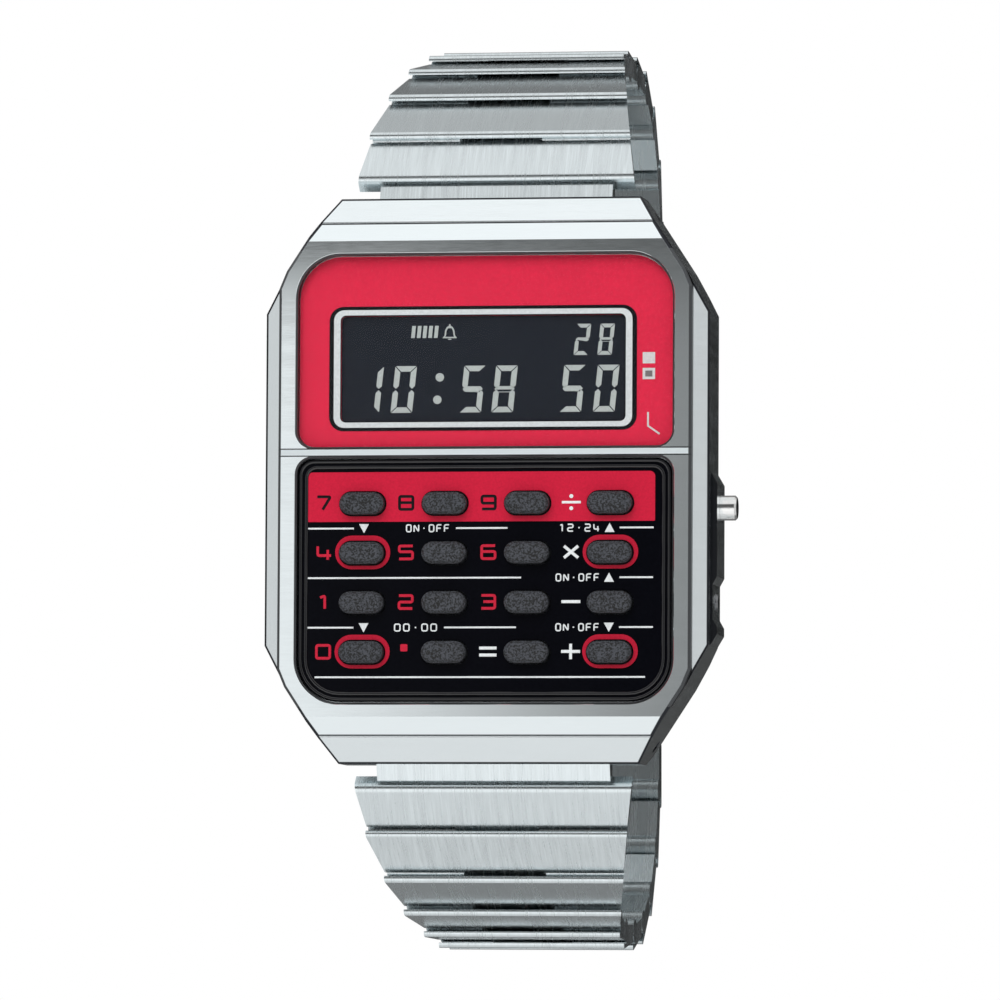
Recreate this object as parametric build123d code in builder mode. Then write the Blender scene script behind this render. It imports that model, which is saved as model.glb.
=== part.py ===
"""Calculator watch: steel case, keypad of sixteen rubber keys, shingled link strap and three-fold clasp.

Frame: +X to the right (pusher side), +Y to the back (towards the wrist), +Z up (twelve o'clock).
The origin is the centre of the case back's outer face. Heights are measured from there to the front.
"""
from build123d import *
import math
import os

os.makedirs("parts", exist_ok=True)

# Case, in plan
case_half_length = 21.6
case_half_width = 17.05
crown_half_width = 11.56
shoulder_inset = 1.75
shoulder_drop = 5.75
flank_drop = 8.94

# Case, heights above the case back's outer face
parting_height = 7.6
end_edge_drop = 2.0
side_edge_drop = 0.4
back_face_height = 1.0
back_chamfer = 0.75
front_wall = 1.0

# Bezel
bezel_end_ledge = 1.95
bezel_side_ledge = 1.19
bezel_side_drop = 1.35
bezel_height = 1.0
bezel_slope = 1.55
bezel_edge_chamfer = 0.22
bezel_foot_groove = 0.12
window_end_rim = 1.08
window_side_rim = 1.46
bar_z = 1.98
bar_width = 0.86
window_large_radius = 3.3
window_small_radius = 1.2
window_chamfer = 0.18

# Movement space
case_end_wall = 4.6
case_side_wall = 2.85
cavity_corner_cut = 4.8

# Display
mask_thickness = 0.2
glass_thickness = 0.65
glass_chamfer = 0.15
display_height_share = 0.71
display_place_share = 0.41
lcd_side_room = 2.4
lcd_border_x = 0.85
lcd_border_z = 1.17
lcd_thickness = 1.5
lcd_gap_to_mask = 0.1
zebra_inset = 0.8
zebra_depth = 0.8
polariser_thickness = 0.2

# Keys
key_pitch_x_share = 0.22
key_pitch_z_share = 0.203
key_top_row_share = 0.186
key_centre_x = 0.14
key_length = 3.4
key_width = 1.66
key_stand = 1.35
key_edge_chamfer = 0.2
key_flange_length = 4.3
key_flange_width = 2.5
key_flange_corner = 0.6
key_flange_thickness = 0.3
key_foot_inset = 0.4
key_travel = 0.4
key_clearance = 0.12
panel_thickness = 0.5
panel_gap_to_flange = 0.05
keypad_side_ledge = 2.2
keypad_top_share = 0.07
keypad_bottom_share = 0.11
keypad_corner_wall = 0.35
mat_inset = 0.3
mat_clearance = 0.1

# Board, battery and sounder
board_thickness = 0.6
board_top_height = 4.35
frame_foot_height = 1.4
frame_skirt = 0.9
battery_share = 0.32
battery_thickness = 1.6
battery_end_room = 1.5
clip_width = 5.0
clip_thickness = 0.25
buzzer_radius = 7.0
buzzer_thickness = 0.25
buzzer_z = 2.0
chip_side = 5.0
chip_thickness = 0.9
chip_x = -5.0
crystal_radius = 0.75
crystal_length = 5.0
crystal_x = 6.0

# Case back, gasket and screws
back_plate_inset = 0.4
back_plate_end_rim = 0.3
back_plate_side_rim = 1.3
back_plate_thickness = 0.7
plateau_inset = 1.5
gasket_width = 0.5
gasket_inset = 0.2
gasket_thickness = 0.5
screw_inset_x = 1.1
screw_inset_z = 1.7
screw_head_radius = 0.95
screw_thread_radius = 0.45
screw_length = 2.3
screw_slot = 0.25

# Lugs and spring bars
lug_axis_height = 2.7
lug_axis_inset = 1.4
notch_half_width = 9.15
notch_depth = 3.3
notch_roof_height = 4.6
spring_bar_radius = 0.6
spring_bar_tip_radius = 0.4
spring_bar_tip_length = 1.7

# Pushers and their guard on the right
guard_stand = 0.5
guard_recess_stand = 0.17
guard_front_drop = 0.9
guard_back_height = 1.9
guard_top_z = 0.8
guard_ramp = 1.1
guard_recess_half_width = 1.3
guard_recess_ramp = 0.6
guard_bottom_drop = 0.24
pusher_height = 4.0
mode_pusher_z = -2.1
mode_pusher_radius = 0.95
mode_pusher_stand = 1.75
adjust_pusher_rise = 3.36
adjust_pusher_radius = 0.7
adjust_pusher_stand = 0.35
pusher_travel = 0.6
pusher_bore_depth = 1.5
spring_rest_share = 2
pusher_stem_radius = 0.4
pusher_stem_inside = 0.8
retainer_radius = 0.9
retainer_thickness = 0.3
spring_wall = 0.12
edge_break = 0.15

# Strap: the angle of each link is measured from the case's plane, towards the back
link_pitch = 4.9
link_angles = [37, 51.5, 63, 73.5, 82.5, 90.5, 98.5, 118.5, 140.5, 162, 176]
first_link_y = -2.9
first_link_stand = 1.12
first_link_width = 21.4
link_taper = 1.6
last_link_width = 14.7
tab_half_width = 9.0
tab_barrel_radius = 1.15
knuckle_radius = 0.95
knuckle_half_width = 3.1
knuckle_gap = 0.1
link_inner = -0.45
link_near_top = 1.42
lip_under = 1.01
lip_reach = 1.35
lip_nose_radius = 0.36
first_nose_radius = 0.6
pin_radius = 0.4

# Clasp
blade_thickness = 0.8
blade_half_width = 4.5
inner_blade_y = 34.2
outer_blade_y = 35.4
outer_blade_half_width = 6.7
blade_knuckle_radius = 0.75
fold_axis_z = -13.0
cover_axis_z = 12.0
cover_inner_y = 36.45
cover_thickness = 1.0
cover_half_width = 8.0
cover_wall = 0.9
cover_wall_foot_y = 34.6
cover_top_drop = 1.1
cover_swing = 2.4
cover_ear_radius = 0.8
cover_fillet = 0.35

# Fits
seat_gap = 0.05
running_gap = 0.05
free_gap = 0.1
side_gap = 0.2
overrun = 5.0


def front(height):
    """A plane parallel to the dial, at a height above the case back's outer face."""
    return Plane.XZ.offset(height)


def save(piece, name):
    piece.label = name
    export_step(piece, f"parts/{name}.step")


def group(*pieces):
    """Solids of one node that stay separate."""
    return Compound(children=[piece.part.solid() for piece in pieces])


def diagonal_x(z):
    """Half width of the case on its long corner facet at a height z."""
    run = (case_half_length - z) / (case_half_length - shoulder_z)
    return crown_half_width + (shoulder_x - crown_half_width) * run


def mirrored(corner):
    """Whole outline from the points of its upper right quarter, listed from the top edge down."""
    x_turned = [(x, -z) for x, z in reversed(corner)]
    left = [(-x, -z) for x, z in corner]
    left_top = [(-x, z) for x, z in reversed(corner)]
    return corner + x_turned + left + left_top


end_edge_height = parting_height - end_edge_drop
side_edge_height = parting_height - side_edge_drop
frame_top_height = parting_height - front_wall - free_gap
mat_top_height = parting_height - front_wall
key_top_height = parting_height + key_stand
shoulder_x = case_half_width - shoulder_inset
shoulder_z = case_half_length - shoulder_drop
flank_z = case_half_length - flank_drop
bezel_half_length = case_half_length - bezel_end_ledge
bezel_half_width = case_half_width - bezel_side_ledge
bezel_side_z = shoulder_z - bezel_side_drop
bezel_flat_half_length = bezel_half_length - bezel_slope
window_half_width = bezel_half_width - window_side_rim
upper_window_low = bar_z + bar_width / 2
upper_window_high = bezel_flat_half_length - window_end_rim
lower_window_low = -upper_window_high
lower_window_high = bar_z - bar_width / 2
cavity_half_length = case_half_length - case_end_wall
cavity_half_width = case_half_width - case_side_wall
case_corner = [
    (crown_half_width, case_half_length),
    (shoulder_x, shoulder_z),
    (case_half_width, flank_z),
]
bezel_corner = [
    (diagonal_x(bezel_half_length), bezel_half_length),
    (shoulder_x, shoulder_z),
    (bezel_half_width, bezel_side_z),
]
cavity_corner = [
    (cavity_half_width - cavity_corner_cut, cavity_half_length),
    (cavity_half_width, cavity_half_length - cavity_corner_cut),
]
upper_window_height = upper_window_high - upper_window_low
lower_window_height = lower_window_high - lower_window_low
display_z = upper_window_low + display_place_share * upper_window_height
lcd_width = 2 * (cavity_half_width - lcd_side_room)
lcd_height = display_height_share * upper_window_height
display_view_width = lcd_width - 2 * lcd_border_x
display_view_height = lcd_height - 2 * lcd_border_z
keypad_opening_half_width = window_half_width - keypad_side_ledge
keypad_opening_high = lower_window_high - keypad_top_share * lower_window_height
keypad_opening_low = lower_window_low + keypad_bottom_share * lower_window_height
key_pitch_x = key_pitch_x_share * 2 * window_half_width
key_pitch_z = key_pitch_z_share * lower_window_height
key_top_row_z = lower_window_high - key_top_row_share * lower_window_height
battery_radius = battery_share * (cavity_half_length + cavity_half_width)
battery_z = battery_radius + battery_end_room - cavity_half_length
back_plate_half_length = cavity_half_length + gasket_inset + gasket_width + back_plate_end_rim
back_plate_half_width = cavity_half_width + gasket_inset + gasket_width + back_plate_side_rim
screw_x = cavity_half_width - screw_inset_x
screw_z = cavity_half_length - screw_inset_z
lug_axis_z = case_half_length - lug_axis_inset
notch_floor_z = case_half_length - notch_depth
first_link_z = case_half_length + first_link_stand
adjust_pusher_z = adjust_pusher_rise - flank_z
guard_bottom_z = -flank_z - guard_bottom_drop
guard_recess_high = adjust_pusher_z + guard_recess_half_width
guard_recess_low = adjust_pusher_z - guard_recess_half_width
guard_front_height = side_edge_height - guard_front_drop
guard_x = case_half_width + guard_stand
guard_recess_x = case_half_width + guard_recess_stand
mode_pusher_tip_x = case_half_width + mode_pusher_stand
adjust_pusher_tip_x = case_half_width + adjust_pusher_stand
pusher_bore_floor_x = case_half_width - pusher_bore_depth
pusher_inner_x = cavity_half_width - pusher_stem_inside
key_columns = 4
key_column_xs = [
    key_centre_x + (column - (key_columns - 1) / 2) * key_pitch_x for column in range(key_columns)
]
key_row_zs = [key_top_row_z - row * key_pitch_z for row in range(key_columns)]
key_places = [(x, z) for z in key_row_zs for x in key_column_xs]
key_names = [
    ["key_7", "key_8", "key_9", "key_divide"],
    ["key_4", "key_5", "key_6", "key_multiply"],
    ["key_1", "key_2", "key_3", "key_minus"],
    ["key_0", "key_decimal", "key_equals", "key_plus"],
]
pushers = [
    ("mode_pusher", mode_pusher_z, mode_pusher_radius, mode_pusher_tip_x),
    ("adjust_pusher", adjust_pusher_z, adjust_pusher_radius, adjust_pusher_tip_x),
]
pusher_head_base_x = pusher_bore_floor_x + spring_rest_share * pusher_travel
key_foot_height = board_top_height + key_travel + free_gap
key_flange_top = parting_height - panel_gap_to_flange
bezel_top = parting_height + bezel_height
upper_window = (upper_window_low, upper_window_high)
lower_window = (lower_window_low, lower_window_high)
lcd_top = parting_height - lcd_gap_to_mask
lcd_bottom = lcd_top - lcd_thickness
board_bottom = board_top_height - board_thickness
battery_bottom = board_bottom - battery_thickness


def window_sketch(window, shrink):
    """A window of the bezel: large corner arcs at the case's ends, small ones at the bar."""
    low, high = window
    upper = high > -low
    width = 2 * (window_half_width - shrink)
    height = high - low - 2 * shrink
    with BuildSketch() as shape:
        with Locations((0, (low + high) / 2)):
            Rectangle(width, height)
        far, near = (-1, 0) if upper else (0, -1)
        fillet(shape.vertices().group_by(Axis.Y)[far], window_large_radius - shrink)
        fillet(shape.vertices().group_by(Axis.Y)[near], window_small_radius - shrink)
    return shape.sketch


def keypad_sketch(shrink):
    """The opening under the keypad panel, its low corners cut like the movement space's."""
    with BuildSketch() as shape:
        Polygon(*mirrored(cavity_corner), align=None)
        offset(amount=-keypad_corner_wall - shrink, kind=Kind.INTERSECTION)
        with Locations((0, (keypad_opening_high + keypad_opening_low) / 2)):
            height = keypad_opening_high - keypad_opening_low
            width = 2 * keypad_opening_half_width
            Rectangle(width - 2 * shrink, height - 2 * shrink, mode=Mode.INTERSECT)
    return shape.sketch


# Case body: middle case with end facets, side facets, strap notches and the pusher guard
with BuildPart() as case_body:
    with BuildSketch(front(back_face_height)):
        Polygon(*mirrored(case_corner), align=None)
    extrude(amount=parting_height - back_face_height)
    with BuildSketch(Plane.YZ):
        end_back = case_half_length - back_chamfer
        ends = [
            (-parting_height, bezel_half_length),
            (-end_edge_height, case_half_length),
            (-back_face_height - back_chamfer, case_half_length),
            (-back_face_height, end_back),
        ]
        Polygon(*ends, *[(y, -z) for y, z in reversed(ends)], align=None)
    extrude(amount=case_half_width + overrun, both=True, mode=Mode.INTERSECT)
    with BuildSketch(Plane.XY):
        sides = [
            (bezel_half_width, -parting_height),
            (case_half_width, -side_edge_height),
            (case_half_width, -back_face_height - back_chamfer),
            (case_half_width - back_chamfer, -back_face_height),
        ]
        Polygon(*sides, *[(-x, y) for x, y in reversed(sides)], align=None)
    extrude(amount=case_half_length + overrun, both=True, mode=Mode.INTERSECT)
    # Guard round the pushers, with the dip where the lower one is recessed
    with BuildSketch(front(guard_back_height)):
        guard = [
            (case_half_width - edge_break, guard_top_z),
            (guard_x, guard_top_z - guard_ramp),
            (guard_x, guard_recess_high + guard_recess_ramp),
            (guard_recess_x, guard_recess_high),
            (guard_recess_x, guard_recess_low),
            (guard_x, guard_recess_low - guard_recess_ramp),
            (guard_x, guard_bottom_z + guard_ramp),
            (case_half_width - edge_break, guard_bottom_z),
        ]
        Polygon(*guard, align=None)
    extrude(amount=guard_front_height - guard_back_height)
    # Movement space, then the openings in the front wall
    with BuildSketch(front(back_face_height)):
        Polygon(*mirrored(cavity_corner), align=None)
    extrude(amount=parting_height - front_wall - back_face_height, mode=Mode.SUBTRACT)
    with BuildSketch(front(parting_height - front_wall)):
        with Locations((0, display_z)):
            Rectangle(lcd_width + 2 * side_gap, lcd_height + 2 * side_gap)
        add(keypad_sketch(0))
    extrude(amount=front_wall, mode=Mode.SUBTRACT)
    # Groove of the gasket
    with BuildSketch(front(back_face_height)):
        Polygon(*mirrored(cavity_corner), align=None)
        offset(amount=gasket_inset + gasket_width, kind=Kind.INTERSECTION)
        with BuildSketch(mode=Mode.SUBTRACT):
            Polygon(*mirrored(cavity_corner), align=None)
            offset(amount=gasket_inset, kind=Kind.INTERSECTION)
    extrude(amount=gasket_thickness, mode=Mode.SUBTRACT)
    # Threaded holes of the case back's screws
    with BuildSketch(front(back_face_height)):
        with GridLocations(2 * screw_x, 2 * screw_z, 2, 2):
            Circle(screw_thread_radius)
    extrude(amount=screw_length, mode=Mode.SUBTRACT)
    # Strap notches, open to the back and the ends, with drilled holes for the spring bars
    for end in (1, -1):
        with BuildSketch(front(0)):
            with Locations((0, end * (notch_floor_z + overrun / 2))):
                Rectangle(2 * notch_half_width, overrun)
        extrude(amount=notch_roof_height, mode=Mode.SUBTRACT)
        with BuildSketch(Plane.YZ):
            with Locations((-lug_axis_height, end * lug_axis_z)):
                Circle(spring_bar_tip_radius + running_gap)
        extrude(amount=case_half_width, both=True, mode=Mode.SUBTRACT)
    # Pusher bores: a wide bore for the head and spring, a narrow one for the stem
    for name, z, radius, tip_x in pushers:
        with BuildSketch(Plane.YZ.offset(pusher_bore_floor_x)):
            with Locations((-pusher_height, z)):
                Circle(radius + running_gap)
        extrude(amount=overrun, mode=Mode.SUBTRACT)
        with BuildSketch(Plane.YZ.offset(pusher_inner_x)):
            with Locations((-pusher_height, z)):
                Circle(pusher_stem_radius + running_gap)
        extrude(amount=overrun, mode=Mode.SUBTRACT)
save(case_body.part, "case_body")

# Bezel: polished octagonal frame with sloping end facets, two windows and the bar between them
with BuildPart() as bezel:
    with BuildSketch(front(parting_height)):
        Polygon(*mirrored(bezel_corner), align=None)
    extrude(amount=bezel_height)
    with BuildSketch(Plane.YZ):
        slopes = [
            (-parting_height, bezel_half_length),
            (-bezel_top, bezel_flat_half_length),
            (-bezel_top, -bezel_flat_half_length),
            (-parting_height, -bezel_half_length),
        ]
        Polygon(*slopes, align=None)
    extrude(amount=case_half_width, both=True, mode=Mode.INTERSECT)
    rim = bezel.faces().sort_by(Axis.Y)[0].edges().filter_by(Axis.X, reverse=True)
    chamfer(rim, bezel_edge_chamfer)
    with BuildSketch(Plane.YZ):
        for end in (1, -1):
            with Locations((-parting_height, end * bezel_half_length)):
                Rectangle(2 * bezel_foot_groove, 2 * bezel_foot_groove)
    extrude(amount=case_half_width, both=True, mode=Mode.SUBTRACT)
    for window in (upper_window, lower_window):
        with BuildSketch(front(parting_height)):
            add(window_sketch(window, 0))
        extrude(amount=bezel_height + overrun, mode=Mode.SUBTRACT)
    lips = bezel.faces().sort_by(Axis.Y)[0].inner_wires().edges()
    chamfer(lips, window_chamfer)
save(bezel.part, "bezel")

# Display mask: thin printed sheet on the case's front wall, open over the display
with BuildPart() as display_mask:
    with BuildSketch(front(parting_height)):
        add(window_sketch(upper_window, seat_gap))
        with Locations((0, display_z)):
            Rectangle(display_view_width, display_view_height, mode=Mode.SUBTRACT)
    extrude(amount=mask_thickness)
save(display_mask.part, "display_mask")

# Display glass: flat mineral glass with a polished edge, on the mask
with BuildPart() as display_glass:
    with BuildSketch(front(parting_height + mask_thickness)):
        add(window_sketch(upper_window, seat_gap))
    extrude(amount=glass_thickness)
    chamfer(display_glass.faces().sort_by(Axis.Y)[0].edges(), glass_chamfer)
save(display_glass.part, "display_glass")

# Display panel: glass cell with a smaller polariser on its front
with BuildPart() as lcd_panel:
    with BuildSketch(front(lcd_bottom)):
        with Locations((0, display_z)):
            Rectangle(lcd_width, lcd_height)
    extrude(amount=lcd_thickness - polariser_thickness)
    with BuildSketch(front(lcd_top - polariser_thickness)):
        with Locations((0, display_z)):
            Rectangle(display_view_width + zebra_depth, display_view_height + zebra_depth)
    extrude(amount=polariser_thickness)
save(lcd_panel.part, "lcd_panel")

# Rubber connectors: two strips that carry the display's contacts to the board
with BuildPart() as zebra_connectors:
    with BuildSketch(front(board_top_height)):
        with Locations((0, display_z)):
            with GridLocations(0, lcd_height - zebra_depth - 2 * side_gap, 1, 2):
                Rectangle(lcd_width - 2 * zebra_inset, zebra_depth)
    extrude(amount=lcd_bottom - board_top_height)
save(zebra_connectors.part, "zebra_connectors")

# Keypad panel: glossy plate with a hole for each key
with BuildPart() as keypad_panel:
    with BuildSketch(front(parting_height)):
        add(window_sketch(lower_window, seat_gap))
        with Locations(*key_places):
            SlotOverall(
                key_length + 2 * key_clearance, key_width + 2 * key_clearance, mode=Mode.SUBTRACT
            )
    extrude(amount=panel_thickness)
save(keypad_panel.part, "keypad_panel")

# Keys: rubber pill with a flange under the panel and a foot over its contact
for row, names in enumerate(key_names):
    for column, name in enumerate(names):
        place = (key_column_xs[column], key_row_zs[row])
        with BuildPart() as key:
            with BuildSketch(front(key_flange_top)):
                with Locations(place):
                    SlotOverall(key_length, key_width)
            extrude(amount=key_top_height - key_flange_top)
            chamfer(key.faces().sort_by(Axis.Y)[0].edges(), key_edge_chamfer)
            with BuildSketch(front(key_flange_top - key_flange_thickness)):
                with Locations(place):
                    Rectangle(key_flange_length, key_flange_width)
                chamfer(vertices(), key_flange_corner)
            extrude(amount=key_flange_thickness)
            with BuildSketch(front(key_foot_height)):
                with Locations(place):
                    Rectangle(key_length - key_foot_inset, key_width - key_foot_inset)
            extrude(amount=key_flange_top - key_flange_thickness - key_foot_height)
        save(key.part, name)

# Key mat: rubber sheet on the board, open round the foot of each key
with BuildPart() as key_mat:
    with BuildSketch(front(board_top_height)):
        add(keypad_sketch(mat_inset))
        with Locations(*key_places):
            Rectangle(key_length + 2 * side_gap, key_width + 2 * side_gap, mode=Mode.SUBTRACT)
    extrude(amount=mat_top_height - board_top_height)
save(key_mat.part, "key_mat")

# Module frame: moulded ring round the board, with openings for the display and the key mat
with BuildPart() as module_frame:
    with BuildSketch(front(frame_foot_height)):
        Polygon(*mirrored(cavity_corner), align=None)
        offset(amount=-side_gap, kind=Kind.INTERSECTION)
    extrude(amount=frame_top_height - frame_foot_height)
    with BuildSketch(front(frame_foot_height)):
        Polygon(*mirrored(cavity_corner), align=None)
        offset(amount=-side_gap - frame_skirt, kind=Kind.INTERSECTION)
    extrude(amount=board_top_height - frame_foot_height, mode=Mode.SUBTRACT)
    with BuildSketch(front(frame_foot_height)):
        with Locations((0, display_z)):
            Rectangle(lcd_width + side_gap, lcd_height + side_gap)
        add(keypad_sketch(mat_inset - mat_clearance))
    extrude(amount=frame_top_height, mode=Mode.SUBTRACT)
    for name, z, radius, tip_x in pushers:
        with BuildSketch(front(frame_foot_height)):
            with Locations((cavity_half_width, z)):
                Rectangle(4 * retainer_radius, 2 * (retainer_radius + side_gap))
        notch_top = pusher_height + retainer_radius + side_gap
        extrude(amount=notch_top - frame_foot_height, mode=Mode.SUBTRACT)
save(module_frame.part, "module_frame")

# Circuit board: chip and crystal on the front, under the display, and the battery clip on the back
with BuildPart() as circuit_board:
    with BuildSketch(front(board_bottom)):
        Polygon(*mirrored(cavity_corner), align=None)
        offset(amount=-2 * side_gap - frame_skirt, kind=Kind.INTERSECTION)
        for name, z, radius, tip_x in pushers:
            with Locations((cavity_half_width, z)):
                Rectangle(4 * retainer_radius, 2 * (retainer_radius + side_gap), mode=Mode.SUBTRACT)
    extrude(amount=board_thickness)
with BuildPart() as chip:
    with BuildSketch(front(board_top_height)):
        with Locations((chip_x, display_z)):
            Rectangle(chip_side, chip_side)
    extrude(amount=chip_thickness)
with BuildPart() as crystal:
    with BuildSketch(Plane.YZ.offset(crystal_x - crystal_length / 2)):
        with Locations((-board_top_height - crystal_radius, display_z)):
            Circle(crystal_radius)
    extrude(amount=crystal_length)
with BuildPart() as battery_clip:
    clip_half = battery_radius + 2 * clip_thickness
    with BuildSketch(front(battery_bottom - clip_thickness)):
        with Locations((0, battery_z)):
            Rectangle(2 * clip_half, clip_width)
    extrude(amount=clip_thickness)
    for side in (1, -1):
        with BuildSketch(front(battery_bottom - clip_thickness)):
            with Locations((side * (clip_half - clip_thickness / 2), battery_z)):
                Rectangle(clip_thickness, clip_width)
        extrude(amount=battery_thickness + clip_thickness)
save(group(circuit_board, chip, crystal, battery_clip), "circuit_board")

# Battery: round cell with a chamfered lower cup
with BuildPart() as battery:
    with BuildSketch(front(battery_bottom)):
        with Locations((0, battery_z)):
            Circle(battery_radius)
    extrude(amount=battery_thickness)
    chamfer(battery.faces().sort_by(Axis.Y)[0].edges(), edge_break)
save(battery.part, "battery")

# Buzzer disc: piezo disc glued inside the case back
with BuildPart() as buzzer_disc:
    with BuildSketch(front(back_face_height)):
        with Locations((0, buzzer_z)):
            Circle(buzzer_radius)
    extrude(amount=buzzer_thickness)
save(buzzer_disc.part, "buzzer_disc")

# Case back: plate with a raised middle and four countersunk holes
with BuildPart() as case_back:
    flange_low = back_face_height - back_plate_thickness
    with BuildSketch(front(flange_low)):
        Polygon(*mirrored(case_corner), align=None)
        offset(amount=-back_plate_inset, kind=Kind.INTERSECTION)
        Rectangle(2 * back_plate_half_width, 2 * back_plate_half_length, mode=Mode.INTERSECT)
    extrude(amount=back_plate_thickness)
    with BuildSketch(front(0)):
        Polygon(*mirrored(cavity_corner), align=None)
        offset(amount=-plateau_inset, kind=Kind.INTERSECTION)
        fillet(vertices(), plateau_inset)
    extrude(amount=flange_low)
    with Locations(*[Plane(origin=(x, -flange_low, z), z_dir=(0, 1, 0))
                     for x in (-screw_x, screw_x) for z in (-screw_z, screw_z)]):
        CounterSinkHole(screw_thread_radius + running_gap, screw_head_radius + running_gap)
save(case_back.part, "case_back")

# Gasket: flat ring pressed into the groove of the case body
with BuildPart() as case_back_gasket:
    with BuildSketch(front(back_face_height)):
        Polygon(*mirrored(cavity_corner), align=None)
        offset(amount=gasket_inset + gasket_width, kind=Kind.INTERSECTION)
        with BuildSketch(mode=Mode.SUBTRACT):
            Polygon(*mirrored(cavity_corner), align=None)
            offset(amount=gasket_inset, kind=Kind.INTERSECTION)
    extrude(amount=gasket_thickness)
save(case_back_gasket.part, "case_back_gasket")

# Case back screws: countersunk, slotted, in the corners
screws = []
for x in (-screw_x, screw_x):
    for z in (-screw_z, screw_z):
        with BuildPart() as screw:
            head_depth = screw_head_radius - screw_thread_radius
            with BuildSketch(Plane(origin=(x, 0, z), x_dir=(1, 0, 0), z_dir=(0, 0, 1))):
                with BuildLine():
                    Polyline(
                        (0, -flange_low),
                        (screw_head_radius, -flange_low),
                        (screw_thread_radius, -flange_low - head_depth),
                        (screw_thread_radius, -flange_low - screw_length),
                        (0, -flange_low - screw_length),
                        close=True,
                    )
                make_face()
            revolve(axis=Axis((x, 0, z), (0, 1, 0)))
            with BuildSketch(front(flange_low)):
                with Locations((x, z)):
                    Rectangle(2 * screw_head_radius, screw_slot)
            extrude(amount=screw_slot, mode=Mode.SUBTRACT)
        screws.append(screw)
save(group(*screws), "case_back_screws")

# Spring bars: telescopic pins between the lugs
bars = []
for end in (1, -1):
    with BuildPart() as bar:
        with BuildSketch(Plane.YZ):
            with Locations((-lug_axis_height, end * lug_axis_z)):
                Circle(spring_bar_radius)
        extrude(amount=tab_half_width, both=True)
        with BuildSketch(Plane.YZ):
            with Locations((-lug_axis_height, end * lug_axis_z)):
                Circle(spring_bar_tip_radius)
        extrude(amount=tab_half_width + spring_bar_tip_length, both=True)
    bars.append(bar)
save(group(*bars), "spring_bars")

# Pushers: turned head and stem, with a retaining clip inside the case
sleeves = []
for name, z, radius, tip_x in pushers:
    with BuildPart() as pusher:
        with BuildSketch(Plane.YZ.offset(pusher_head_base_x)):
            with Locations((-pusher_height, z)):
                Circle(radius)
        extrude(amount=tip_x - pusher_head_base_x)
        chamfer(pusher.faces().sort_by(Axis.X)[-1].edges(), edge_break)
        with BuildSketch(Plane.YZ.offset(pusher_inner_x)):
            with Locations((-pusher_height, z)):
                Circle(pusher_stem_radius)
        extrude(amount=pusher_head_base_x - pusher_inner_x)
    with BuildPart() as retainer:
        with BuildSketch(Plane.YZ.offset(cavity_half_width - free_gap - retainer_thickness)):
            with Locations((-pusher_height, z)):
                Circle(retainer_radius)
                Circle(pusher_stem_radius, mode=Mode.SUBTRACT)
        extrude(amount=retainer_thickness)
    save(group(pusher, retainer), name)
    with BuildPart() as sleeve:
        with BuildSketch(Plane.YZ.offset(pusher_bore_floor_x)):
            with Locations((-pusher_height, z)):
                Circle(pusher_stem_radius + free_gap + spring_wall)
                Circle(pusher_stem_radius + free_gap, mode=Mode.SUBTRACT)
        extrude(amount=pusher_head_base_x - pusher_bore_floor_x)
    sleeves.append(sleeve)
save(group(*sleeves), "pusher_springs")


# Strap links: each overlaps the far end of the one before it, like a shingle
def link_planes(end):
    """Side planes of the links of one half: local x runs along the strap, local y outwards."""
    y, z = first_link_y, first_link_z
    planes = []
    for degrees in link_angles + [180]:
        angle = math.radians(degrees)
        along = (0, math.sin(angle), end * math.cos(angle))
        planes.append(Plane(origin=(0, y, end * z), x_dir=along, z_dir=(end, 0, 0)))
        y += link_pitch * math.sin(angle)
        z += link_pitch * math.cos(angle)
    return planes


def link_width(number, along_share):
    """Strap width at a share of the way along a link: it tapers from the case, then stays even."""
    tapered = first_link_width - link_taper * (number - 1 + along_share)
    return max(tapered, last_link_width)


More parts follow.
